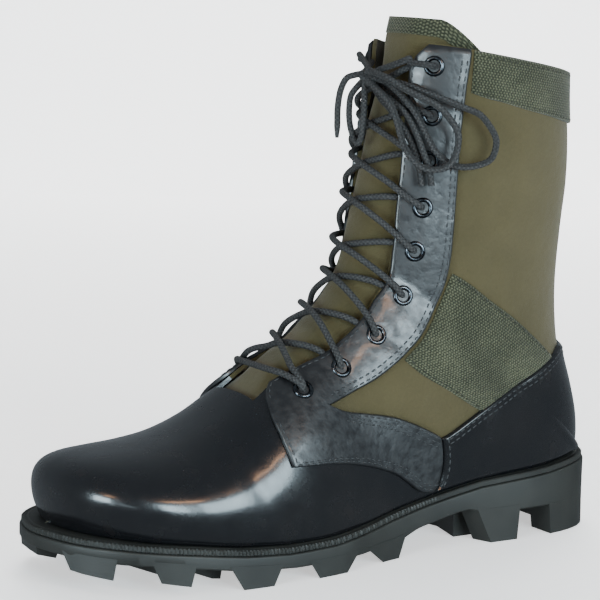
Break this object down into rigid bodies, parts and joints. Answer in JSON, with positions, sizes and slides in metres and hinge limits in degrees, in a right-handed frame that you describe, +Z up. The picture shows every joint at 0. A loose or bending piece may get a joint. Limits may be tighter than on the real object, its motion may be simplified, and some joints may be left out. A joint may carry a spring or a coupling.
{
  "type": "jungle boot",
  "caption": "Left jungle boot with a lugged rubber sole, leather vamp and heel, canvas shaft, webbing bands and laced front.",
  "frame": {"origin": "on the floor under the middle of the boot's length and width", "axes": "+X towards the toe, +Y towards the outer side of the foot, +Z up"},
  "size_m": [0.3086, 0.1121, 0.2583],
  "materials": {
    "rubber": "matte moulded",
    "welt_rubber": "matte, ribbed edge",
    "insole_board": "plain",
    "leather": "polished smooth grain",
    "canvas": "fine plain weave",
    "webbing": "coarse ribbed weave",
    "metal": "dark, worn bright on the rims",
    "lace": "braided"
  },
  "bodies": {
    "root": {"outsole": "rubber", "welt": "welt_rubber", "insole": "insole_board", "upper": "canvas", "tongue": "canvas", "heel_counter": "leather", "eyestay_lateral": "leather", "eyestay_medial": "leather", "cuff_webbing": "webbing", "ankle_webbing_lateral": "webbing", "ankle_webbing_medial": "webbing", "eyelet_lateral_1": "metal", "eyelet_lateral_2": "metal", "eyelet_lateral_3": "metal", "eyelet_lateral_4": "metal", "eyelet_lateral_5": "metal", "eyelet_lateral_6": "metal", "eyelet_lateral_7": "metal", "eyelet_lateral_8": "metal", "eyelet_lateral_9": "metal", "eyelet_medial_1": "metal", "eyelet_medial_2": "metal", "eyelet_medial_3": "metal", "eyelet_medial_4": "metal", "eyelet_medial_5": "metal", "eyelet_medial_6": "metal", "eyelet_medial_7": "metal", "eyelet_medial_8": "metal", "eyelet_medial_9": "metal", "lace_bar": "lace", "lace_cross_1": "lace", "lace_cross_2": "lace", "lace_cross_3": "lace", "lace_cross_4": "lace", "lace_cross_5": "lace", "lace_cross_6": "lace", "lace_cross_7": "lace", "lace_cross_8": "lace", "lace_knot": "lace", "lace_lead_lateral": "lace", "lace_lead_medial": "lace", "lace_end_left": "lace", "lace_end_right_1": "lace", "lace_end_right_2": "lace", "lace_loop_left": "lace", "lace_loop_inner": "lace", "lace_loop_outer": "lace"}
  },
  "joints": []
}
